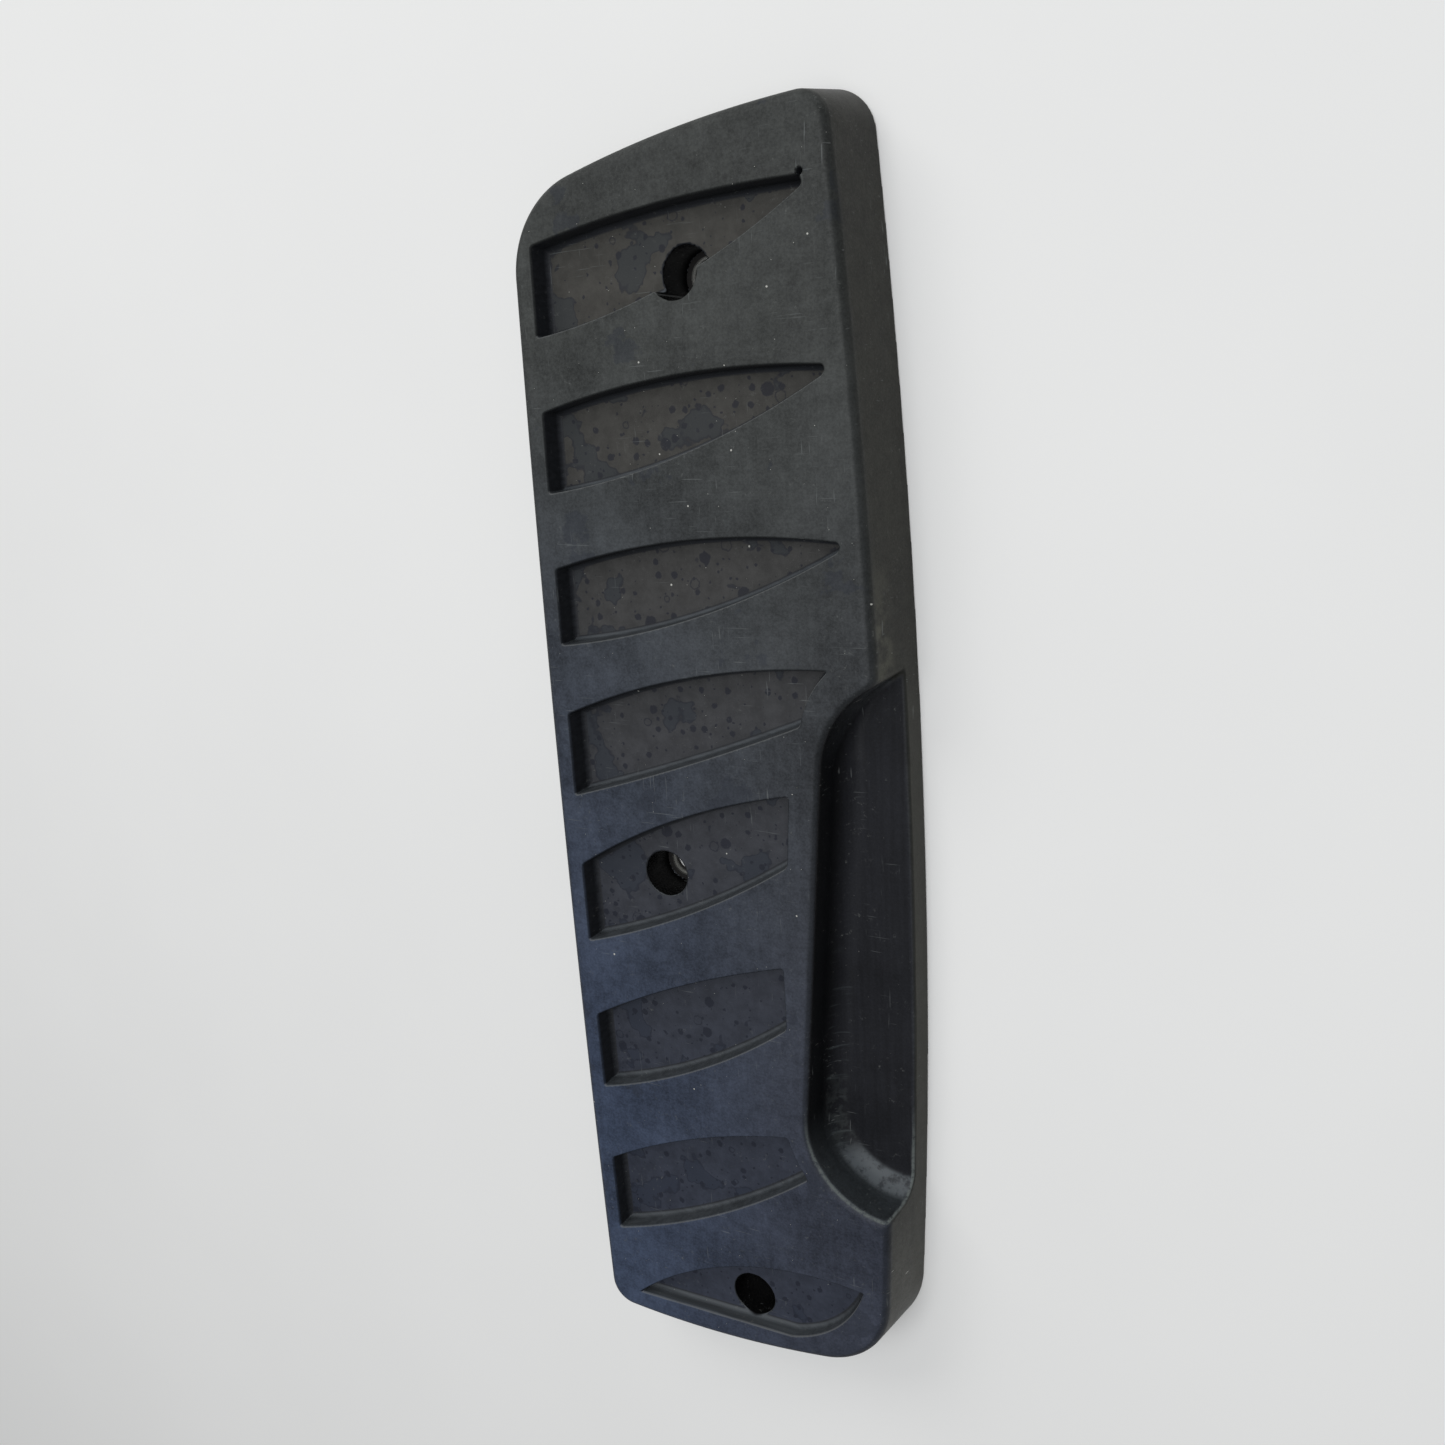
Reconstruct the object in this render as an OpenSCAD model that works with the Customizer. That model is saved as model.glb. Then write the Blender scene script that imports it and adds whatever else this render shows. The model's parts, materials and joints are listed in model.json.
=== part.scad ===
// Moulded rubber traffic pad with three bolted fixing holes.
// X runs across the pad, Y along it, Z out of its patterned face. The origin is the middle of the back.

/* [Pad] */
// Thickness from the flat back to the patterned face
pad_t = 31; // [28:1:40]
// Half width of the patterned face at its widest place
half_w = 70.5; // [68:0.5:80]
// How much further the back edge stands out than the face edge
draft_out = 5.5; // [2:0.5:8]
// Radius of the rolled edge around the patterned face
edge_r = 3.5; // [1:0.5:5]
// Large corner radius, at the upper left and the lower right
corner_large = 34; // [20:1:36]
// Small corner radius, at the upper right and the lower left
corner_small = 11; // [9:0.5:14]

/* [Tread recesses] */
// Depth of the upper recesses in the patterned face
recess_depth = 10; // [6:0.5:12]
// How much shallower the recesses get towards the lower end
recess_rise = 2; // [0:0.5:3]
// Depth of the crescent recess at the lower end
crescent_depth = 6.3; // [4:0.1:8]
// Rubber left between the recesses and the left edge of the face
recess_margin = 8.5; // [6:0.5:12]

/* [Side scoop] */
// Depth of the scoop below the patterned face
scoop_depth = 20.5; // [12:0.5:22]
// Radius where the scoop's wall runs into its floor
scoop_fillet = 9; // [4:0.5:12]
// How far the scoop's wall leans in from the face down to the fillet
scoop_lean = 2.5; // [0:0.5:4]

/* [Fixing holes] */
// Diameter of the counterbore that takes the screw head
counterbore_d = 19; // [18:0.5:22]
// Diameter of the hole through the steel seat
screw_hole_d = 13.5; // [11:0.5:14]
// Height of the screw seat above the back
seat_z = 4; // [3.5:0.5:6]

/* [Steel inserts] */
// Thickness of the reinforcing plate
plate_t = 2; // [1.5:0.5:2]
// Width of the reinforcing plate
plate_w = 96; // [70:1:100]
// Length of the reinforcing plate
plate_l = 458; // [430:1:460]
// Diameter of the seat bush's collar, which goes through the plate
collar_d = 18; // [16:0.5:18.5]
// Diameter of the seat bush's flange, which lies on the plate
flange_d = 26; // [22:0.5:28]

/* [Hidden] */
eps = 0.01;
over = 1;

// Centres of the fixing holes
hole_upper = [0, 193];
hole_middle = [-27, -35];
hole_lower = [3, -222.8];
holes = [hole_upper, hole_middle, hole_lower];

// Sides of the patterned face: each is an arc, as [centre, radius], in the order left, top, right, bottom
left_r = 8266;
top_r = 446;
right_r = 3124;
bottom_r = 407;
left_side = [[left_r - half_w, -12], left_r];
top_side = [[65, -203.5], top_r];
right_side = [[half_w - right_r, -33], right_r];
bottom_side = [[-33.5, 162], bottom_r];
sides = [left_side, top_side, right_side, bottom_side];
corner_radii = [corner_large, corner_small, corner_large, corner_small];

// Slices that make up the rolled edge, and the points on each arc
edge_steps = 4;
corner_steps = 8;
side_steps = 16;
slice = 0.02;

// Plate and bush
plate_z = seat_z - 1 - plate_t;
flange_t = 1;
plate_corner_r = 20;
plate_shift = [-3, -8];

// Scoop outline in the face: wall line, end arcs and the line that runs out at the upper end
scoop_out_x = 90;
scoop_top = [46.5, 17];
scoop_foot = [34.5, -128];
scoop_end_r = 35;
scoop_shoulder_r = 38;
scoop_exit_slope = 34;
scoop_steps = 10;
// Share of the lean and the fillet that is left where the scoop's upper end runs out
scoop_exit_share = 0.15;
right_steps = 4;

// Tread recesses, from the top down: [left bottom y, left top y, right top point, right bottom point,
// how far the top edge, the right edge and the bottom edge stand out, share of the rise]
treads = [
    [176, 208, [49, 217], [50, 214], 3, 0, 6.5, 0],
    [119, 149, [55, 158], [55, 155], 5, 0, 6, 0],
    [60, 90, [58, 99], [58, 96], 6, 0, 6, 0],
    [-2, 32, [52, 54], [40, 33], 6, -2, 1.5, 0],
    [-66, -32, [34, 6], [32, -22], 5, 0, 4, 0.25],
    [-134, -100, [28, -64], [28, -90], 3, 0, 5, 0.5],
    [-204, -169, [26, -138], [34, -155], 4, -1, 5, 0.75],
];

// Lowest recess, a crescent around the lower hole
crescent_left = [-52, -235];
crescent_right = [56, -201];
crescent_low_right = [23, -232.5];
crescent_top_bulge = 12;
crescent_end_bulge = 6;

function unit(v) = v / norm(v);
function angle_of(v) = atan2(v[1], v[0]);
function polar(c, r, a) = c + r * [cos(a), sin(a)];

// Points on an arc, the short way round from angle a to angle b
function short_turn(a, b) = let (t = b - a) t > 180 ? t - 360 : t < -180 ? t + 360 : t;
function arc(c, r, a, b, n) = [for (i = [0 : n]) polar(c, r, a + short_turn(a, b) * i / n)];

// Points from p to q on an arc that stands out to the left of the line p-q by the bulge
function bulged(p, q, bulge, n) = abs(bulge) < eps ? [p, q] :
    let (
        chord = norm(q - p),
        r = (chord * chord / 4 + bulge * bulge) / (2 * bulge),
        across = [p[1] - q[1], q[0] - p[0]] / chord,
        c = (p + q) / 2 + across * (bulge - r)
    )
    arc(c, abs(r), angle_of(p - c), angle_of(q - c), n);

// All but the first and the last of a list of points
function inner(points) = len(points) < 3 ? [] : [for (i = [1 : len(points) - 2]) points[i]];

// Centre of the rounding between two side arcs: it lies inside both by its own radius
function corner_centre(a, b, r, way) =
    let (
        ra = a[1] - r,
        rb = b[1] - r,
        d = norm(b[0] - a[0]),
        along = (ra * ra - rb * rb + d * d) / (2 * d),
        up = sqrt(ra * ra - along * along),
        dir = unit(b[0] - a[0])
    )
    a[0] + dir * along + way * up * [-dir[1], dir[0]];

corner_centres = [for (i = [0 : 3]) corner_centre(sides[i], sides[(i + 1) % 4], corner_radii[i], -1)];

// Outline of the pad, moved outwards by grow
function outline(grow) = [
    for (i = [0 : 3])
        let (
            side = sides[i],
            from = corner_centres[(i + 3) % 4],
            to = corner_centres[i],
            next = sides[(i + 1) % 4],
            a = angle_of(from - side[0]),
            b = angle_of(to - side[0])
        )
        each concat(
            arc(side[0], side[1] + grow, a, b, side_steps),
            arc(to, corner_radii[i] + grow, b, angle_of(to - next[0]), corner_steps)
        )
];

// X of the face's left edge at a height y
function left_edge(y) = left_side[0][0] - sqrt(left_r * left_r - pow(y - left_side[0][1], 2));

// Outline of one tread recess
function tread_outline(t) =
    let (
        low = [left_edge(t[0]) + recess_margin, t[0]],
        high = [left_edge(t[1]) + recess_margin, t[1]]
    )
    concat(
        bulged(high, t[2], t[4], scoop_steps),
        inner(bulged(t[2], t[3], t[5], right_steps)),
        bulged(t[3], low, t[6], scoop_steps)
    );

crescent_outline = concat(
    bulged(crescent_left, crescent_right, crescent_top_bulge, scoop_steps),
    bulged(crescent_right, crescent_low_right, crescent_end_bulge, scoop_steps),
    [crescent_low_right]
);

// Outline of the scoop in the face, moved inwards by shrink, but by less towards the upper exit
function scoop_outline(shrink) =
    let (
        wall_dir = angle_of(scoop_top - scoop_foot),
        end_c = polar(scoop_foot, scoop_end_r, wall_dir - 90),
        turn_c = polar(scoop_top, scoop_shoulder_r, wall_dir - 90),
        exit_a = scoop_exit_slope + 90,
        turn = short_turn(wall_dir + 90, exit_a),
        fade = (1 - scoop_exit_share) / scoop_steps,
        exit_p = polar(turn_c, scoop_shoulder_r - shrink * scoop_exit_share, exit_a),
        run = (scoop_out_x - exit_p[0]) / cos(scoop_exit_slope)
    )
    concat(
        [for (i = [0 : scoop_steps])
            polar(turn_c, scoop_shoulder_r - shrink * (1 - fade * i), exit_a - turn * (1 - i / scoop_steps))],
        [polar(exit_p, run, scoop_exit_slope), [scoop_out_x, end_c[1] - scoop_end_r + shrink]],
        arc(end_c, scoop_end_r - shrink, -90, wall_dir + 90, scoop_steps)
    );

module layer(z, points) {
    translate([0, 0, z])
        linear_extrude(slice)
            polygon(points);
}

// The block: drafted sides and a rolled edge around the patterned face
module block() {
    roll_z = pad_t - edge_r;
    roll_grow = draft_out * edge_r / pad_t;
    hull() {
        layer(0, outline(draft_out));
        for (i = [0 : edge_steps])
            layer(
                roll_z + edge_r * sin(90 * i / edge_steps) - slice,
                outline(roll_grow - edge_r * (1 - cos(90 * i / edge_steps)))
            );
    }
}

module recess(points, depth) {
    translate([0, 0, pad_t - depth])
        linear_extrude(depth + over)
            polygon(points);
}

module tread_recesses() {
    for (t = treads)
        recess(tread_outline(t), recess_depth - t[7] * recess_rise);
    recess(crescent_outline, crescent_depth);
}

// Scoop: a leaning wall, a round fillet and a flat floor, open at the right side
module scoop() {
    floor_z = pad_t - scoop_depth;
    hull() {
        layer(pad_t + over, scoop_outline(0));
        layer(pad_t - slice, scoop_outline(0));
        for (i = [0 : edge_steps])
            layer(
                floor_z + scoop_fillet * (1 - cos(90 * i / edge_steps)),
                scoop_outline(scoop_lean + scoop_fillet * (1 - sin(90 * i / edge_steps)))
            );
    }
}

module screw_holes(d, z0, z1) {
    for (p = holes)
        translate([p[0], p[1], z0])
            cylinder(h = z1 - z0, d = d, $fn = 64);
}

module plate_blank() {
    translate([plate_shift[0], plate_shift[1], plate_z])
        linear_extrude(plate_t)
            difference() {
                square([plate_w, plate_l], center = true);
                for (x = [-1, 1], y = [-1, 1])
                    translate([x * plate_w / 2, y * plate_l / 2])
                        rotate(45)
                            square(plate_corner_r, center = true);
            }
}

module bush_blank(p) {
    translate([p[0], p[1], 0])
        cylinder(h = seat_z - flange_t, d = collar_d, $fn = 64);
    translate([p[0], p[1], seat_z - flange_t])
        cylinder(h = flange_t, d = flange_d, $fn = 64);
}

module rubber_body() {
    color("#24262a")
        difference() {
            block();
            tread_recesses();
            scoop();
            screw_holes(counterbore_d, seat_z, pad_t + over);
            plate_blank();
            for (p = holes)
                bush_cavity(p);
        }
}

// Room for a bush, open at the back and up into the counterbore
module bush_cavity(p) {
    translate([p[0], p[1], -over])
        cylinder(h = seat_z - flange_t + over, d = collar_d, $fn = 64);
    translate([p[0], p[1], seat_z - flange_t])
        cylinder(h = flange_t, d = flange_d, $fn = 64);
}

module reinforcing_plate() {
    color("#8a8d90")
        difference() {
            plate_blank();
            screw_holes(collar_d, plate_z - over, plate_z + plate_t + over);
        }
}

module seat_bush(p) {
    color("#b4b6b8")
        difference() {
            bush_blank(p);
            translate([p[0], p[1], -over])
                cylinder(h = seat_z + 2 * over, d = screw_hole_d, $fn = 64);
        }
}

module seat_bush_upper() {
    seat_bush(hole_upper);
}

module seat_bush_middle() {
    seat_bush(hole_middle);
}

module seat_bush_lower() {
    seat_bush(hole_lower);
}

rubber_body();
reinforcing_plate();
seat_bush_upper();
seat_bush_middle();
seat_bush_lower();
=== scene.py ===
"""Looks for the rubber speed bump: a moulded rubber pad built from one distance field, on a pale floor."""

import json
import math

import bpy
import numpy as np
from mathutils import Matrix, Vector

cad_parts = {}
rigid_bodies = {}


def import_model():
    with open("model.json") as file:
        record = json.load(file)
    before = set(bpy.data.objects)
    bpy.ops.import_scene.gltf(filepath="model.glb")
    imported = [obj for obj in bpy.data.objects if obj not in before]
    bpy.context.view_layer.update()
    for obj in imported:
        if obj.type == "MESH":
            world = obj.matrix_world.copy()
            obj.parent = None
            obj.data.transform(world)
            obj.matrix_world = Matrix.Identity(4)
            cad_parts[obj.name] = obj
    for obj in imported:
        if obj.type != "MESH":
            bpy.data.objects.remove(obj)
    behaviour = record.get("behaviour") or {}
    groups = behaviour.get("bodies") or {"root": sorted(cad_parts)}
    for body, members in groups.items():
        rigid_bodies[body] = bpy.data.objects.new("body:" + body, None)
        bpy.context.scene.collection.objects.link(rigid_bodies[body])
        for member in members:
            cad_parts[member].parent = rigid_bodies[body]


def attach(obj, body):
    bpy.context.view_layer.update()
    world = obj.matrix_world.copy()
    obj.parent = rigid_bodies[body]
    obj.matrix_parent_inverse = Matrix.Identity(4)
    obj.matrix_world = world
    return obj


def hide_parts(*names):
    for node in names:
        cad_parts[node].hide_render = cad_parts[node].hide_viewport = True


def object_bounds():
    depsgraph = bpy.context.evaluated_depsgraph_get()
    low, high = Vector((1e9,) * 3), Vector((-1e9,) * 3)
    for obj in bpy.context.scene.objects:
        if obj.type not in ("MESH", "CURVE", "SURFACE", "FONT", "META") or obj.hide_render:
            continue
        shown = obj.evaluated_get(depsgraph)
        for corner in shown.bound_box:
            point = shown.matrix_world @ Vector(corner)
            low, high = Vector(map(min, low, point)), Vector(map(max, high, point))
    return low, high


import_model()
cad_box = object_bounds()

MM = 0.001

# ---- Sizes in millimetres, as in part.scad ---------------------------------------------------------------
PAD_T = 31.0
HALF_W = 70.5
DRAFT_OUT = 5.5
EDGE_R = 3.5
BACK_EDGE_R = 0.6
CORNER_LARGE = 34.0
CORNER_SMALL = 11.0

RECESS_MARGIN = 8.5
RECESS_LEAN = 0.05
RECESS_RIM_R = 0.7
RECESS_FLOOR_R = 2.2
NICK = (49.2, 218.0, 1.2)

SCOOP_DEPTH = 20.5
SCOOP_FILLET = 9.0
SCOOP_LEAN = 2.5
SCOOP_RIM_R = 3.2
SCOOP_LIP_R = 1.2
SCOOP_RIM_ENDS = 7.0
SCOOP_TOP = np.array([46.5, 17.0])
SCOOP_FOOT = np.array([34.5, -128.0])
SCOOP_END_R = 35.0
SCOOP_SHOULDER_R = 38.0
SCOOP_EXIT_SLOPE = math.radians(34.0)
SCOOP_OUT_X = 90.0
SCOOP_EXIT_RUN = 30.0
SCOOP_EXIT_SHARE = 0.15
ARC_STEPS = 40

COUNTERBORE_R = 9.5
COLLAR_R = 9.0
SEAT_Z = 4.0
BORE_R = 6.75
HOLE_RIM_R = 0.5
HOLES = [(0.0, 193.0), (-27.0, -35.0), (3.0, -222.8)]

# Sides of the patterned face, as (centre, radius)
LEFT_SIDE = ((8266.0 - HALF_W, -12.0), 8266.0)
TOP_SIDE = ((65.0, -203.5), 446.0)
RIGHT_SIDE = ((HALF_W - 3124.0, -33.0), 3124.0)
BOTTOM_SIDE = ((-33.5, 162.0), 407.0)

# Tread recesses from the top down: low left y, high left y, top right point, low right point,
# how far the top, right and bottom edges stand out, and the depth
TREADS = [
    (176, 208, (49, 217), (50, 214), 3, 0, 6.5, 10),
    (119, 149, (55, 158), (55, 155), 5, 0, 6, 10),
    (60, 90, (58, 99), (58, 96), 6, 0, 6, 10),
    (-2, 32, (52, 54), (40, 33), 6, -2, 1.5, 10),
    (-66, -32, (34, 6), (32, -22), 5, 0, 4, 9.5),
    (-134, -100, (28, -64), (28, -90), 3, 0, 5, 9),
    (-204, -169, (26, -138), (34, -155), 4, -1, 5, 8.5),
]
TREAD_CORNER_R = 1.2
CRESCENT_DEPTH = 6.3
CRESCENT_SIDES = [((-52, -235), (56, -201), 12), ((56, -201), (23, -232.5), 6)]

# The mesh: its cell, the room around the body, the turn of the normal that counts as a bend, how far from a
# bend the mesh stays fine, and the share of the flat parts that is thinned out
CELL = 0.9
NET_ROOM = 2.0
NET_ROOM_Z = 1.5
BEND = 2e-4
FLAT_MARGIN = 2.5
THINNED = 0.97

# The look's zones fade into each other over this way
ZONE_BLEND = 1.5

# ---- Floor, light and camera, in metres, degrees and watts -----------------------------------------------
FLOOR_SIZE = 12
WORLD_STRENGTH = 0.17
LIGHTS = [
    # name, place, size, power, colour
    ("window", (-0.9, 1.6, 1.3), (1.6, 1.0), 12, (1.0, 0.99, 0.97)),
    ("sky", (0.2, 0.4, 2.2), (2.0, 2.0), 38, (0.97, 0.985, 1.0)),
]
CAMERA_PLACE = (0.2181, 0.1399, 0.4122)
CAMERA_TURN = (-15.721, 27.860, -4.022)
CAMERA_LENS_MM = 29.9
CAMERA_SENSOR_MM = 36


# ---- Distance field ---------------------------------------------------------------------------------------
def both_round(a, b, r):
    """Inside both shapes, with a rounding of radius r where they meet."""
    return np.minimum(-r, np.maximum(a, b)) + np.hypot(np.maximum(a + r, 0), np.maximum(b + r, 0))


def disc(x, y, side):
    (cx, cy), r = side
    return np.hypot(x - cx, y - cy) - r


def edge(x, y, p, q, bulge):
    """Distance to the left of the arc from p to q, which stands out to its left by bulge."""
    p, q = np.array(p, float), np.array(q, float)
    chord = np.linalg.norm(q - p)
    out = np.array([p[1] - q[1], q[0] - p[0]]) / chord
    if abs(bulge) < 1e-6:
        return (x - p[0]) * out[0] + (y - p[1]) * out[1]
    r = (chord ** 2 / 4 + bulge ** 2) / (2 * bulge)
    c = (p + q) / 2 + out * (bulge - r)
    return math.copysign(1, bulge) * (np.hypot(x - c[0], y - c[1]) - abs(r))


def face_left(y):
    (cx, cy), r = LEFT_SIDE
    return cx - math.sqrt(r ** 2 - (y - cy) ** 2)


def tread_distance(x, y, tread):
    low_y, high_y, top_right, low_right, top, right, bottom, _ = tread
    low = (face_left(low_y) + RECESS_MARGIN, low_y)
    high = (face_left(high_y) + RECESS_MARGIN, high_y)
    d = both_round(edge(x, y, low, high, 0), edge(x, y, high, top_right, top), TREAD_CORNER_R)
    d = both_round(d, edge(x, y, low_right, low, bottom), TREAD_CORNER_R)
    return both_round(d, edge(x, y, top_right, low_right, right), TREAD_CORNER_R)


def corner(a, b, r):
    """Centre of the rounding between two sides, and the ways from there that bound it."""
    ca, cb = np.array(a[0]), np.array(b[0])
    ra, rb, gap = a[1] - r, b[1] - r, np.linalg.norm(cb - ca)
    way = (cb - ca) / gap
    along = (ra ** 2 - rb ** 2 + gap ** 2) / (2 * gap)
    c = ca + way * along - math.sqrt(ra ** 2 - along ** 2) * np.array([-way[1], way[0]])
    return c, r, c - ca, c - cb


def outline_distance(x, y):
    d = np.max([disc(x, y, side) for side in SIDES], axis=0)
    for c, r, start, end in CORNERS:
        ux, uy = x - c[0], y - c[1]
        here = (start[0] * uy <= start[1] * ux) & (end[0] * uy >= end[1] * ux)
        d = np.where(here, np.hypot(ux, uy) - r, d)
    return d


def arc(c, r, a, b, n):
    turn = (b - a + math.pi) % (2 * math.pi) - math.pi
    t = a + turn * np.linspace(0, 1, n + 1)
    return np.stack([c[0] + r * np.cos(t), c[1] + r * np.sin(t)], 1)


def bulged(p, q, bulge, n):
    """Points from p to q on an arc that stands out to the left of the line p-q by the bulge."""
    p, q = np.array(p, float), np.array(q, float)
    chord = np.linalg.norm(q - p)
    r = (chord ** 2 / 4 + bulge ** 2) / (2 * bulge)
    c = (p + q) / 2 + np.array([p[1] - q[1], q[0] - p[0]]) / chord * (bulge - r)
    return arc(c, r, math.atan2(*(p - c)[::-1]), math.atan2(*(q - c)[::-1]), n)


def scoop_outline():
    wall = SCOOP_TOP - SCOOP_FOOT
    up = math.atan2(wall[1], wall[0])
    inward = np.array([math.cos(up - math.pi / 2), math.sin(up - math.pi / 2)])
    turn_c = SCOOP_TOP + SCOOP_SHOULDER_R * inward
    end_c = SCOOP_FOOT + SCOOP_END_R * inward
    shoulder = arc(turn_c, SCOOP_SHOULDER_R, up + math.pi / 2, SCOOP_EXIT_SLOPE + math.pi / 2, ARC_STEPS)
    rise = (SCOOP_OUT_X - shoulder[-1][0]) * math.tan(SCOOP_EXIT_SLOPE)
    out = [[SCOOP_OUT_X, shoulder[-1][1] + rise], [SCOOP_OUT_X, end_c[1] - SCOOP_END_R]]
    half = arc(end_c, SCOOP_END_R, -math.pi / 2, -3 * math.pi / 4, ARC_STEPS)
    rest = arc(end_c, SCOOP_END_R, -3 * math.pi / 4, up + math.pi / 2, ARC_STEPS)
    return np.vstack([shoulder, out, half, rest[1:]])


def polygon_distance(x, y, points):
    """Signed distance to a closed polygon, negative inside."""
    nearest = np.full(x.shape, np.inf)
    inside = np.zeros(x.shape, bool)
    for (ax, ay), (bx, by) in zip(points, np.roll(points, -1, 0)):
        ex, ey = bx - ax, by - ay
        if ex ** 2 + ey ** 2 < 1e-12:
            continue
        t = np.clip(((x - ax) * ex + (y - ay) * ey) / (ex ** 2 + ey ** 2), 0, 1)
        nearest = np.minimum(nearest, (x - ax - t * ex) ** 2 + (y - ay - t * ey) ** 2)
        if ay != by:
            crosses = (ay > y) != (by > y)
            inside ^= crosses & (x < ax + (y - ay) / ey * ex)
    return np.where(inside, -1, 1) * np.sqrt(nearest)


SIDES = [LEFT_SIDE, TOP_SIDE, RIGHT_SIDE, BOTTOM_SIDE]
CORNERS = [
    corner(side, SIDES[(n + 1) % 4], CORNER_SMALL if n % 2 else CORNER_LARGE) for n, side in enumerate(SIDES)
]
SCOOP = scoop_outline()
CRESCENT = np.vstack([bulged(*side, ARC_STEPS) for side in CRESCENT_SIDES])


def plan(x, y):
    """The plan distances that the body is made of (outline, recess, scoop, hole), the recess's depth and y."""
    recess = polygon_distance(x, y, CRESCENT)
    depth = np.full(x.shape, CRESCENT_DEPTH)
    for tread in TREADS:
        d = tread_distance(x, y, tread)
        depth = np.where(d < recess, tread[-1], depth)
        recess = np.minimum(recess, d)
    recess = np.minimum(recess, disc(x, y, (NICK[:2], NICK[2])))
    scoop = polygon_distance(x, y, SCOOP)
    hole = np.min([np.hypot(x - cx, y - cy) for cx, cy in HOLES], axis=0)
    return outline_distance(x, y), recess, scoop, hole, depth, y


def body_distance(fields, z):
    outline, recess, scoop, hole, depth, y = fields
    lean = math.atan2(DRAFT_OUT, PAD_T)
    wall = (outline - DRAFT_OUT * (PAD_T - z) / PAD_T) * math.cos(lean)
    body = both_round(wall, z - PAD_T, EDGE_R)
    body = both_round(body, -z, BACK_EDGE_R)
    down = PAD_T - z
    pocket = both_round(recess + RECESS_LEAN * down, PAD_T - depth - z, RECESS_FLOOR_R)
    body = both_round(body, -pocket, RECESS_RIM_R)
    turn = np.clip((y - SCOOP_TOP[1]) / SCOOP_EXIT_RUN, 0, 1)
    soft = SCOOP_EXIT_SHARE + (1 - SCOOP_EXIT_SHARE) * (1 - turn)
    scoop_wall = scoop + SCOOP_LEAN * soft * down / SCOOP_DEPTH
    scooped = both_round(scoop_wall, PAD_T - SCOOP_DEPTH - z, SCOOP_FILLET * soft)
    rim = SCOOP_RIM_R + (SCOOP_LIP_R - SCOOP_RIM_R) * np.clip(down / SCOOP_RIM_ENDS, 0, 1)
    body = both_round(body, -scooped, rim)
    bore = both_round(hole - COUNTERBORE_R, SEAT_Z - z, 0.01)
    body = both_round(body, -bore, HOLE_RIM_R)
    return np.maximum(body, COLLAR_R - hole)


# ---- Mesh from the field ----------------------------------------------------------------------------------
def surface_net(lo, hi, cell):
    """Vertices and quads of the body's skin, one vertex in each grid cell that the skin crosses."""
    axes = [np.arange(a, b + cell, cell) for a, b in zip(lo, hi)]
    gx, gy = np.meshgrid(axes[0], axes[1], indexing="ij")
    fields = [f[:, :, None] for f in plan(gx, gy)]
    d = body_distance(fields, axes[2][None, None, :]).astype(np.float32)
    inside = (d < 0).astype(np.uint8)
    nx, ny, nz = d.shape
    count = np.zeros((nx - 1, ny - 1, nz - 1), np.uint8)
    corners = [(i, j, k) for i in (0, 1) for j in (0, 1) for k in (0, 1)]
    for i, j, k in corners:
        count += inside[i:nx - 1 + i, j:ny - 1 + j, k:nz - 1 + k]
    cells = np.argwhere((count > 0) & (count < 8))
    total = np.zeros((len(cells), 3))
    hits = np.zeros(len(cells))
    for a in corners:
        for b in corners:
            if sum(b) - sum(a) != 1 or any(q < p for p, q in zip(a, b)):
                continue
            da = d[tuple((cells + a).T)]
            db = d[tuple((cells + b).T)]
            cut = (da < 0) != (db < 0)
            t = np.where(cut, da / np.where(cut, da - db, 1), 0)
            point = np.array(a) + t[:, None] * (np.array(b) - np.array(a))
            total += np.where(cut[:, None], point, 0)
            hits += cut
    verts = (cells + total / hits[:, None]) * cell + np.array(lo)
    index = np.full(count.shape, -1, np.int32)
    index[tuple(cells.T)] = np.arange(len(cells))
    quads = []
    for axis in range(3):
        u, v = [np.eye(3, dtype=int)[(axis + n) % 3] for n in (1, 2)]
        step = np.eye(3, dtype=int)[axis]
        near = inside[:nx - step[0], :ny - step[1], :nz - step[2]]
        far = inside[step[0]:, step[1]:, step[2]:]
        nodes = np.argwhere(near != far)
        quad = np.stack([index[tuple((nodes - o).T)] for o in (u * 0, u, u + v, v)], 1)
        leaving = near[tuple(nodes.T)] == 1
        quad[~leaving] = quad[~leaving][:, ::-1]
        quads.append(quad)
    return verts, np.vstack(quads)


def gradient(p, step=0.02):
    """Unit outward normal of the field at points p."""
    g = np.zeros_like(p)
    for axis in range(3):
        shift = np.zeros(3)
        shift[axis] = step
        ends = [body_distance(plan(q[:, 0], q[:, 1]), q[:, 2]) for q in (p + shift, p - shift)]
        g[:, axis] = ends[0] - ends[1]
    return g / np.maximum(np.linalg.norm(g, axis=1), 1e-9)[:, None]


def settle(p, rounds=2):
    """Moves points onto the skin."""
    for _ in range(rounds):
        p = p - body_distance(plan(p[:, 0], p[:, 1]), p[:, 2])[:, None] * gradient(p)
    return p


def mesh_object(name, verts, faces):
    mesh = bpy.data.meshes.new(name)
    mesh.from_pydata((verts * MM).tolist(), [], faces.tolist())
    mesh.update()
    obj = bpy.data.objects.new(name, mesh)
    bpy.context.scene.collection.objects.link(obj)
    return obj


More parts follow.
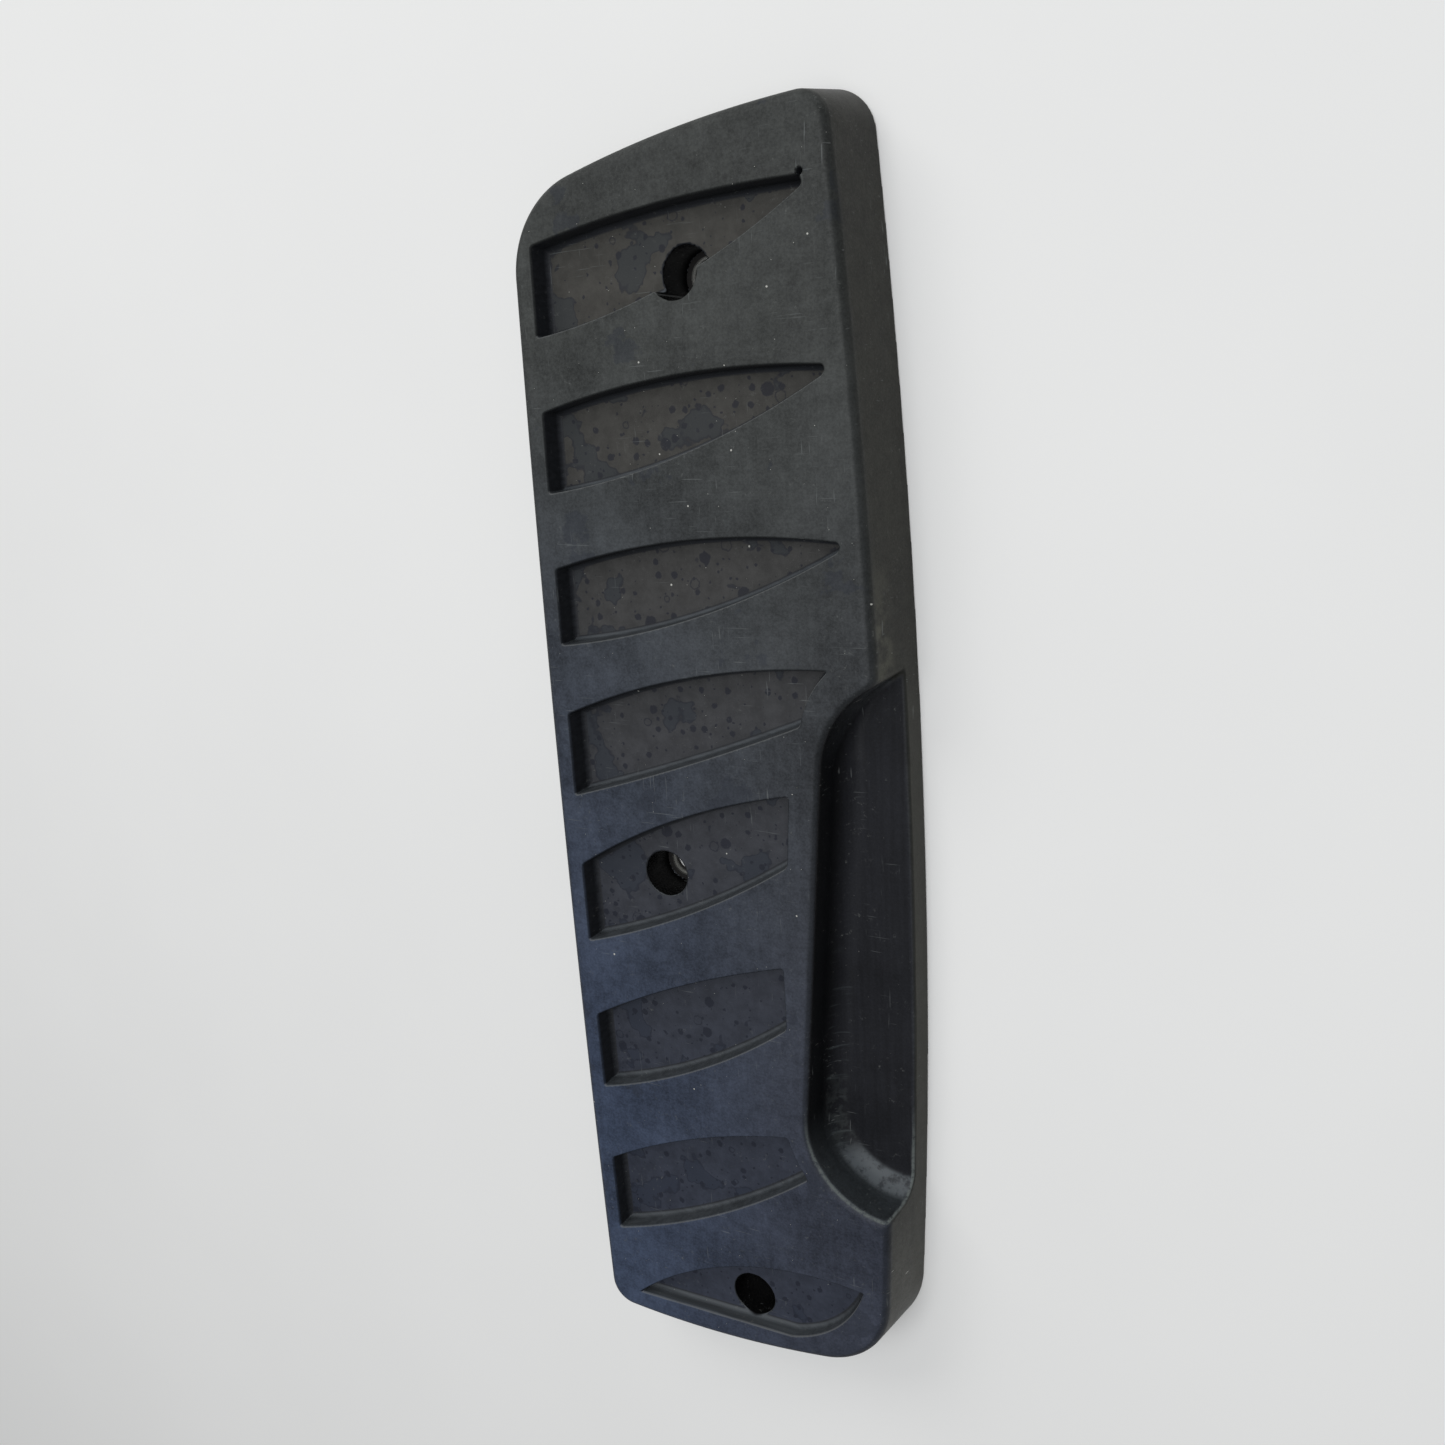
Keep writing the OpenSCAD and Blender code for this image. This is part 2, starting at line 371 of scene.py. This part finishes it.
def flat_spots(p, normals, faces):
    """1 for vertices that lie in a plane with all that is near them, and 0 on and beside roundings."""
    bend = np.zeros(len(p))
    for a, b in ((0, 1), (1, 2), (2, 3), (3, 0), (0, 2), (1, 3)):
        i, j = faces[:, a], faces[:, b]
        turn = 1 - (normals[i] * normals[j]).sum(1)
        np.maximum.at(bend, i, turn)
        np.maximum.at(bend, j, turn)
    busy = bend > BEND
    for _ in range(max(1, round(FLAT_MARGIN / CELL))):
        touched = busy[faces].any(1)
        busy[faces[touched].ravel()] = True
    return ~busy


def zones(p):
    """How far each point belongs to the tread recesses, the scoop and the sides, from 0 to 1."""
    outline, recess, scoop = plan(p[:, 0], p[:, 1])[:3]
    down = PAD_T - p[:, 2]
    deep = np.clip(down / ZONE_BLEND, 0, 1)
    in_recess = deep * np.clip(1 - (recess - 0.5) / ZONE_BLEND, 0, 1)
    in_scoop = deep * np.clip(1 - (scoop + SCOOP_LEAN * down / SCOOP_DEPTH) / ZONE_BLEND, 0, 1)
    in_scoop *= np.clip(1 - (outline - DRAFT_OUT * down / PAD_T + 1.5) / ZONE_BLEND, 0, 1)
    on_side = np.clip((down - 1) / EDGE_R, 0, 1) * np.clip((outline + 2) / ZONE_BLEND, 0, 1)
    return np.stack([in_recess, in_scoop, on_side * (1 - in_scoop), np.ones(len(p))], 1)


def rubber_skin():
    lo = (cad_box[0][0] / MM - NET_ROOM, cad_box[0][1] / MM - NET_ROOM, -NET_ROOM_Z)
    hi = (cad_box[1][0] / MM + NET_ROOM, cad_box[1][1] / MM + NET_ROOM, PAD_T + NET_ROOM_Z)
    verts, faces = surface_net(lo, hi, CELL)
    verts = settle(verts)
    flat = flat_spots(verts, gradient(verts), faces)
    dense = mesh_object("dense", verts, faces)
    group = dense.vertex_groups.new(name="flat")
    group.add(np.flatnonzero(flat).tolist(), 1.0, "REPLACE")
    thin = dense.modifiers.new("thin", "DECIMATE")
    thin.ratio = 1 - THINNED * flat.mean()
    thin.vertex_group = "flat"
    thin.vertex_group_factor = 1.0
    graph = bpy.context.evaluated_depsgraph_get()
    mesh = bpy.data.meshes.new_from_object(dense.evaluated_get(graph))
    bpy.data.objects.remove(dense)
    mesh.name = "rubber_skin"
    skin = bpy.data.objects.new("rubber_skin", mesh)
    bpy.context.scene.collection.objects.link(skin)
    points = np.empty(len(mesh.vertices) * 3)
    mesh.vertices.foreach_get("co", points)
    points = points.reshape(-1, 3) / MM
    normals = gradient(points)
    mesh.polygons.foreach_set("use_smooth", np.ones(len(mesh.polygons), bool))
    mesh.normals_split_custom_set_from_vertices(normals.tolist())
    zone = mesh.color_attributes.new("zone", "FLOAT_COLOR", "POINT")
    zone.data.foreach_set("color", zones(points).ravel())
    return skin


skin = rubber_skin()
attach(skin, "root")
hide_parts("rubber_body")


# ---- Materials --------------------------------------------------------------------------------------------
class Look:
    """A material, with short calls for its nodes. Places are in millimetres."""

    def __init__(self, name):
        self.material = bpy.data.materials.new(name)
        self.material.use_nodes = True
        self.tree = self.material.node_tree
        self.shader = self.tree.nodes["Principled BSDF"]
        where = self.node("ShaderNodeTexCoord").outputs["Object"]
        self.place = self.scaled(where, (1000, 1000, 1000))
        self.x, self.y, self.z = self.split(self.place)

    def node(self, kind, **settings):
        n = self.tree.nodes.new(kind)
        for key, value in settings.items():
            setattr(n, key, value)
        return n

    def put(self, socket, value):
        if isinstance(value, bpy.types.NodeSocket):
            self.tree.links.new(value, socket)
        else:
            socket.default_value = value

    def set(self, name, value):
        self.put(self.shader.inputs[name], value)

    def math(self, operation, a, b=0.0, clamp=False):
        n = self.node("ShaderNodeMath", operation=operation, use_clamp=clamp)
        self.put(n.inputs[0], a)
        self.put(n.inputs[1], b)
        return n.outputs[0]

    def times(self, *values):
        total = values[0]
        for v in values[1:]:
            total = self.math("MULTIPLY", total, v)
        return total

    def plus(self, *values):
        total = values[0]
        for v in values[1:]:
            total = self.math("ADD", total, v)
        return total

    def most(self, a, b):
        return self.math("MAXIMUM", a, b)

    def less(self, a):
        return self.math("SUBTRACT", 1.0, a, clamp=True)

    def ramp(self, value, lo, hi, at_lo=0.0, at_hi=1.0):
        n = self.node("ShaderNodeMapRange", interpolation_type="SMOOTHSTEP")
        names = ("Value", "From Min", "From Max", "To Min", "To Max")
        for name, v in zip(names, (value, lo, hi, at_lo, at_hi)):
            self.put(n.inputs[name], v)
        return n.outputs[0]

    def swing(self, noise, lo, hi):
        """Noise spread between two values."""
        return self.ramp(noise, 0.3, 0.7, lo, hi)

    def split(self, vector):
        n = self.node("ShaderNodeSeparateXYZ")
        self.put(n.inputs[0], vector)
        return n.outputs

    def scaled(self, vector, by, turn=0.0):
        n = self.node("ShaderNodeMapping")
        self.put(n.inputs["Vector"], vector)
        n.inputs["Scale"].default_value = by
        n.inputs["Rotation"].default_value = (0, 0, turn)
        return n.outputs[0]

    def moved(self, vector, by):
        n = self.node("ShaderNodeVectorMath", operation="ADD")
        self.put(n.inputs[0], vector)
        self.put(n.inputs[1], by)
        return n.outputs[0]

    def noise(self, size, detail=3.0, rough=0.55, place=None, colour=False):
        n = self.node("ShaderNodeTexNoise")
        self.put(n.inputs["Vector"], place or self.place)
        n.inputs["Scale"].default_value = 1 / size
        n.inputs["Detail"].default_value = detail
        n.inputs["Roughness"].default_value = rough
        return n.outputs["Color" if colour else "Fac"]

    def frayed(self, size, reach):
        """The place, shaken by noise, so that shapes made from it get ragged edges."""
        n = self.node("ShaderNodeVectorMath", operation="MULTIPLY_ADD")
        self.put(n.inputs[0], self.noise(size, colour=True))
        n.inputs[1].default_value = (2 * reach, 2 * reach, 2 * reach)
        n.inputs[2].default_value = (-reach, -reach, -reach)
        return self.moved(self.place, n.outputs[0])

    def dots(self, gap, share, smallest, largest, place=None, soft=0.15, ring=0.0):
        """Round dots, one at most in each cell of the gap's size. A ring's width makes hollow ones."""
        n = self.node("ShaderNodeTexVoronoi", voronoi_dimensions="2D")
        self.put(n.inputs["Vector"], place or self.place)
        n.inputs["Scale"].default_value = 1 / gap
        n.inputs["Randomness"].default_value = 0.9
        away = self.math("MULTIPLY", n.outputs["Distance"], gap)
        draw = self.node("ShaderNodeSeparateColor")
        self.put(draw.inputs[0], n.outputs["Color"])
        radius = self.ramp(draw.outputs[1], 0, 1, smallest, largest)
        if ring:
            away = self.math("ABSOLUTE", self.math("SUBTRACT", away, radius))
            radius = ring
        inside = self.ramp(self.math("SUBTRACT", away, radius), soft, -soft)
        return self.math("MULTIPLY", inside, self.math("LESS_THAN", draw.outputs[0], share))

    def from_hole(self, hx, hy):
        """How far a place is from a hole's axis."""
        away = [self.math("SUBTRACT", self.x, hx), self.math("SUBTRACT", self.y, hy)]
        return self.math("SQRT", self.math("ADD", *(self.math("POWER", a, 2) for a in away)))

    def mix(self, factor, a, b, blend="MIX"):
        n = self.node("ShaderNodeMix", data_type="RGBA", blend_type=blend)
        self.put(n.inputs[0], factor)
        self.put(n.inputs[6], a)
        self.put(n.inputs[7], b)
        return n.outputs[2]

    def grey(self, value):
        n = self.node("ShaderNodeCombineColor")
        for socket in n.inputs:
            self.put(socket, value)
        return n.outputs[0]

    def dim(self, colour, value):
        return self.mix(1.0, colour, self.grey(value), "MULTIPLY")

    def bump(self, height, depth_mm, under=None):
        n = self.node("ShaderNodeBump")
        n.inputs["Distance"].default_value = depth_mm * MM
        self.put(n.inputs["Height"], height)
        if under:
            self.put(n.inputs["Normal"], under)
        return n.outputs[0]


def rgb(r, g, b):
    """A colour on the 0-255 display scale, as the shader wants it."""
    shown = (r / 255, g / 255, b / 255)
    return (*(v / 12.92 if v <= 0.04045 else ((v + 0.055) / 1.055) ** 2.4 for v in shown), 1)


class Rubber(Look):
    """The black rubber's look, with the masks and noises that its parts share."""

    def __init__(self):
        super().__init__("black_rubber")
        zone = self.node("ShaderNodeSeparateColor")
        self.put(zone.inputs[0], self.node("ShaderNodeAttribute", attribute_name="zone").outputs["Color"])
        self.recess, self.scoop, self.side = zone.outputs
        _, self.northward, self.upward = self.split(self.node("ShaderNodeNewGeometry").outputs["Normal"])
        self.floor_mask = self.times(self.recess, self.ramp(self.upward, 0.9, 0.99))
        self.low = self.ramp(self.y, 190, -190)
        self.cloud = self.noise(38, 4, 0.6)
        self.grain = self.noise(0.9, 3, 0.7)
        self.speckle = self.noise(1.6, 5, 0.75)
        self.cross = self.noise(1.0, 3, 0.65, self.scaled(self.place, (0.02, 0.6, 0.3), 0.06))
        streaks = self.noise(1.0, 3, 0.6, self.scaled(self.place, (0.45, 0.018, 0.3)))
        self.wear = self.plus(
            self.swing(self.cloud, 0.78, 1.22),
            self.swing(streaks, -0.05, 0.05),
            self.swing(self.cross, -0.04, 0.04),
            self.swing(self.noise(6, 4, 0.7), -0.14, 0.14),
            self.swing(self.grain, -0.2, 0.2),
        )

    def face(self):
        """Warm grey at the top, blue grey lower down, with a few dark stains."""
        left = self.ramp(self.x, 45, -75)
        colour = self.mix(self.low, rgb(61, 63, 62), rgb(53, 57, 68))
        colour = self.mix(self.times(self.low, left, 0.8), colour, rgb(60, 71, 92))
        colour = self.dim(colour, self.wear)
        stain = self.ramp(self.noise(30, 5, 0.6, self.moved(self.place, (91, 17, 0))), 0.60, 0.62)
        return self.mix(self.times(stain, 0.4), colour, rgb(44, 48, 57))

    def recess_floor(self):
        """Brown grey dust, with dried water marks: pools with a dark tide line, spots and rings, and painted
        shade where the floor curves up into the walls.
        """
        colour = self.mix(self.low, rgb(67, 66, 63), rgb(53, 57, 68))
        colour = self.dim(colour, self.ramp(self.noise(7, 5, 0.7), 0.25, 0.75, 0.8, 1.2))
        frayed = self.frayed(1.7, 0.8)
        pools = self.noise(21, 3, 0.5, self.moved(self.frayed(5, 1.6), (13, 208, 0)))
        pools = self.plus(pools, self.ramp(self.x, -25, -58, 0, 0.10))
        wet = self.mix(self.low, rgb(55, 58, 60), rgb(47, 52, 64))
        colour = self.mix(self.times(self.ramp(pools, 0.60, 0.61), 0.8), colour, wet)
        tide = self.times(self.ramp(pools, 0.592, 0.602), self.ramp(pools, 0.628, 0.606))
        small = self.dots(5.5, 0.42, 0.3, 1.4, frayed, 0.25)
        large = self.dots(14, 0.25, 1.2, 2.6, frayed, 0.3)
        tiny = self.dots(2.6, 0.16, 0.15, 0.55, frayed, 0.12)
        spots = self.most(self.most(small, large), tiny)
        rings = self.dots(13, 0.15, 1.0, 2.2, self.moved(frayed, (5, 3, 0)), 0.2, 0.25)
        damp = self.most(self.times(spots, 0.85), self.most(self.times(tide, 0.6), self.times(rings, 0.7)))
        colour = self.mix(damp, colour, self.mix(self.low, rgb(42, 43, 49), rgb(36, 39, 49)))
        # Painted shade: the floor is painted darker where it curves up into the walls.
        crease_shade = self.times(self.ramp(self.upward, 0.999, 0.95), 0.6)
        return self.mix(crease_shade, colour, rgb(40, 41, 44))

    def recess_wall(self):
        # Painted light: recess walls that face +Y are painted lighter than the others.
        colour = self.mix(self.ramp(self.northward, 0.3, 0.7), rgb(42, 44, 48), rgb(72, 76, 80))
        return self.dim(colour, self.swing(self.cross, 0.8, 1.2))

    def hollow(self):
        """The scoop: a wall painted near black as painted shade, lighter at its lower end as painted light, and
        a floor darker than the face, partly cleaner rubber and partly painted shade, with rub marks along the
        foot of its wall. Returns the colour and the mask of the worn spot at the lower end, which carries a
        painted highlight.
        """
        # Painted shade: the scoop's steep wall is painted near black. Painted light makes the wall at the lower
        # end, which faces +Y, grey.
        lit_and_shaded_wall = self.mix(self.ramp(self.y, -125, -155), rgb(8, 9, 12), rgb(44, 48, 51))
        # Floor darker than the face: partly cleaner rubber, partly painted shade.
        colour = self.mix(self.ramp(self.upward, 0.35, 0.97), lit_and_shaded_wall, rgb(29, 30, 34))
        rub = self.noise(1.0, 3, 0.6, self.scaled(self.place, (0.5, 0.02, 0.4)))
        colour = self.dim(colour, self.ramp(rub, 0.25, 0.75, 0.86, 1.16))
        uneven = self.plus(self.swing(self.cloud, 0.8, 1.2), self.swing(self.grain, -0.15, 0.15))
        colour = self.dim(colour, uneven)
        bands = self.noise(1.0, 2, 0.6, self.scaled(self.place, (0.05, 0.42, 0.05)))
        fillet = self.times(self.ramp(self.upward, 0.35, 0.6), self.ramp(self.upward, 0.997, 0.95))
        rubbed = self.times(self.ramp(bands, 0.56, 0.68), fillet, self.ramp(self.y, -45, -110), self.scoop)
        colour = self.mix(self.times(rubbed, 0.45), colour, rgb(70, 76, 78))
        worn = self.plus(self.noise(5, 4, 0.6), self.swing(self.speckle, -0.06, 0.06))
        # Worn spot and painted highlight: the fillet at the lower end, which faces +Y, is painted pale like a
        # glossy highlight. It is also made smoother.
        worn_patch_and_highlight = self.ramp(worn, 0.30, 0.52, 0.25, 1.0)
        worn_patch_and_highlight = self.times(fillet, self.ramp(self.y, -144, -153), self.scoop, worn_patch_and_highlight)
        trail = self.times(fillet, self.ramp(self.y, -105, -135), self.scoop, self.ramp(worn, 0.44, 0.60))
        colour = self.mix(self.times(trail, 0.35), colour, rgb(62, 66, 66))
        # Mixes in the pale worn spot with its painted highlight.
        return self.mix(self.times(worn_patch_and_highlight, 0.85), colour, rgb(86, 91, 95)), worn_patch_and_highlight

    def flank(self):
        """The sides: brown grey, paler at the lower end, with a pale smear above the scoop, and painted light
        from the floor on the low strip of the right side beside the scoop.
        """
        colour = self.mix(self.ramp(self.y, -150, -215), rgb(49, 49, 45), rgb(77, 77, 74))
        colour = self.dim(colour, self.wear)
        smear = self.ramp(self.noise(9, 4, 0.6), 0.35, 0.6)
        smear = self.times(self.ramp(self.y, 44, 56), self.ramp(self.y, 100, 62), smear)
        colour = self.mix(self.times(smear, self.ramp(self.z, 15, 22), 0.5), colour, rgb(104, 104, 92))
        # Painted light: the low strip of the right side beside the scoop is painted lighter, as light from the
        # floor.
        lip_bounce_light = self.times(self.ramp(self.z, 12, 9), self.ramp(self.x, 60, 72), self.ramp(self.y, 60, 30))
        return self.mix(self.times(lip_bounce_light, 0.3), colour, rgb(74, 74, 68))

    def bored(self, base):
        """Painted shade: the steep walls of the counterbores are painted near black."""
        steep = self.ramp(self.upward, 0.6, 0.2)
        for hx, hy in HOLES:
            inside = self.ramp(self.from_hole(hx, hy), COUNTERBORE_R + 0.6, COUNTERBORE_R + 0.2)
            # Painted shade, near black, on the counterbore walls.
            black = self.dim(rgb(9, 9, 10), self.swing(self.grain, 0.6, 1.5))
            base = self.mix(self.times(inside, steep), base, black)
        return base

    def edged(self, base):
        """Painted shade darkens rolled edges that face away from +Y. Painted highlights draw a thin pale line
        on recess rims, on the feet of recess walls that face +Y, and on the rim at the lower end of the scoop.
        """
        north, up = self.northward, self.upward
        flat = self.times(self.less(self.recess), self.less(self.scoop))
        # Painted shade on the rolled outer edges that face away from +Y.
        roll = self.times(self.ramp(up, 0.985, 0.85), self.ramp(up, 0.22, 0.45), flat)
        roll = self.times(roll, self.ramp(north, 0.4, 0.1))
        base = self.mix(self.times(roll, 0.45), base, rgb(22, 24, 24))
        # Painted highlight: a thin pale line on recess rims that face +Y.
        line = self.times(self.ramp(self.recess, 0.02, 0.2), self.ramp(self.recess, 0.8, 0.45))
        line = self.times(line, self.ramp(north, 0.1, 0.45))
        base = self.mix(self.times(line, 0.4), base, rgb(124, 126, 126))
        # Painted highlight where recess walls that face +Y meet the floor.
        foot = self.times(self.ramp(up, 0.45, 0.65), self.ramp(up, 0.95, 0.8))
        foot = self.times(foot, self.ramp(north, 0.2, 0.45), self.recess)
        base = self.mix(self.times(foot, 0.15), base, rgb(104, 108, 112))
        # Painted highlight on the rim at the lower end of the scoop, broken up by speckle.
        rim = self.times(self.ramp(self.scoop, 0.02, 0.35), self.ramp(self.scoop, 0.98, 0.6))
        rim = self.times(rim, self.ramp(self.y, -120, -150))
        return self.mix(self.times(rim, self.ramp(self.speckle, 0.3, 0.55), 0.7), base, rgb(104, 110, 108))

    def marked(self, base):
        """Scratches, dust and white specks. Returns the colour, the specks and the scratches."""
        fine = self.scaled(self.place, (0.06, 1.6, 0.4), 0.9)
        coarse = self.scaled(self.place, (1.5, 0.07, 0.4), 0.35)
        scratches = self.ramp(self.noise(1.0, 1, 0.5, fine), 0.70, 0.75)
        crossed = self.ramp(self.noise(1.0, 1, 0.5, coarse), 0.71, 0.76)
        scuffed = self.ramp(self.noise(24, 3, 0.6, self.moved(self.place, (301, 44, 0))), 0.5, 0.64)
        scratches = self.times(self.most(scratches, crossed), scuffed, 0.35)
        base = self.mix(scratches, base, rgb(120, 124, 124))
        dusty = self.ramp(self.noise(17, 4, 0.6), 0.46, 0.62)
        dust = self.times(self.ramp(self.noise(2.4, 5, 0.8), 0.58, 0.72), dusty, 0.6)
        base = self.mix(dust, base, rgb(108, 110, 108))
        large = self.dots(17, 0.14, 0.1, 0.4, self.frayed(0.8, 0.25), 0.08)
        specks = self.most(large, self.dots(4.2, 0.07, 0.05, 0.14, None, 0.05))
        specks = self.times(specks, self.less(self.times(self.scoop, 0.8)), self.ramp(self.z, 6, 12))
        return self.mix(self.times(specks, 0.85), base, rgb(196, 196, 190)), specks, scratches

    def finished(self):
        hollow, worn_patch_and_highlight = self.hollow()
        recess = self.mix(self.floor_mask, self.recess_wall(), self.recess_floor())
        base = self.mix(self.recess, self.face(), recess)
        base = self.mix(self.scoop, self.mix(self.side, base, self.flank()), hollow)
        base, specks, scratches = self.marked(self.edged(self.bored(base)))
        self.set("Base Color", base)
        rough = self.plus(self.swing(self.cloud, 0.44, 0.56), self.times(self.floor_mask, 0.12))
        self.set("Roughness", self.math("SUBTRACT", rough, self.times(worn_patch_and_highlight, 0.1)))
        self.set("Specular IOR Level", 0.13)
        relief = self.bump(self.noise(0.7, 3, 0.7), 0.05)
        relief = self.bump(self.noise(9, 2, 0.5), 0.10, relief)
        self.set("Normal", self.bump(self.most(specks, self.times(scratches, -0.5)), 0.12, relief))
        return self.material


def steel(name, clean, rust, share):
    """Bare steel with grime and rust, and a bright worn edge at the mouth of each screw hole."""
    k = Look(name)
    cloud = k.noise(6, 5, 0.65)
    brushed = k.noise(1.0, 3, 0.6, k.scaled(k.place, (0.08, 2.2, 2.2)))
    rusted = k.ramp(cloud, share, share + 0.12)
    for hx, hy in HOLES:
        mouth = k.ramp(k.from_hole(hx, hy), BORE_R + 0.6, BORE_R + 0.3)
        rusted = k.math("MULTIPLY", rusted, k.less(k.times(mouth, k.ramp(k.z, 1.0, 3.0))))
    metal = k.dim(clean, k.ramp(brushed, 0.25, 0.75, 0.8, 1.15))
    rust = k.dim(rust, k.swing(k.noise(0.8, 4, 0.7), 0.6, 1.3))
    k.set("Base Color", k.mix(rusted, metal, rust))
    k.set("Metallic", k.ramp(rusted, 0, 1, 0.95, 0.1))
    k.set("Roughness", k.ramp(rusted, 0, 1, 0.34, 0.8))
    k.set("Normal", k.bump(cloud, 0.08, k.bump(brushed, 0.02)))
    return k.material


def dress():
    skin.data.materials.clear()
    skin.data.materials.append(Rubber().finished())
    looks = {
        "reinforcing_plate": steel("plate_steel", rgb(128, 130, 132), rgb(86, 62, 46), 0.50),
        "seat_bush": steel("bush_steel", rgb(120, 120, 116), rgb(24, 22, 21), 0.2),
    }
    for obj in bpy.data.objects:
        for start, look in looks.items():
            if obj.type == "MESH" and obj.name.startswith(start):
                obj.data.materials.clear()
                obj.data.materials.append(look)


dress()


# ---- Stage ------------------------------------------------------------------------------------------------
def floor():
    bpy.ops.mesh.primitive_plane_add(size=FLOOR_SIZE, location=(0, 0, 0))
    plane = bpy.context.object
    plane.name = "floor"
    k = Look("pale_floor")
    k.set("Base Color", k.dim(rgb(241, 241, 240), k.swing(k.noise(160, 3, 0.5), 0.985, 1.0)))
    k.set("Roughness", 0.9)
    k.set("Specular IOR Level", 0.2)
    plane.data.materials.append(k.material)


def area_light(name, place, size, power, colour):
    light = bpy.data.lights.new(name, "AREA")
    light.shape = "RECTANGLE"
    light.size, light.size_y = size
    light.energy = power
    light.color = colour
    obj = bpy.data.objects.new(name, light)
    obj.location = place
    obj.rotation_euler = (-Vector(place)).to_track_quat("-Z", "Y").to_euler()
    bpy.context.scene.collection.objects.link(obj)


def surroundings():
    world = bpy.data.worlds.new("world")
    world.use_nodes = True
    background = world.node_tree.nodes["Background"]
    background.inputs["Color"].default_value = (1, 1, 1, 1)
    background.inputs["Strength"].default_value = WORLD_STRENGTH
    bpy.context.scene.world = world
    bpy.context.scene.view_settings.view_transform = "Standard"


def camera():
    data = bpy.data.cameras.new("camera")
    data.sensor_width = CAMERA_SENSOR_MM
    data.lens = CAMERA_LENS_MM
    obj = bpy.data.objects.new("camera", data)
    obj.location = CAMERA_PLACE
    obj.rotation_euler = [math.radians(a) for a in CAMERA_TURN]
    bpy.context.scene.collection.objects.link(obj)
    bpy.context.scene.camera = obj


floor()
for light in LIGHTS:
    area_light(*light)
surroundings()
camera()
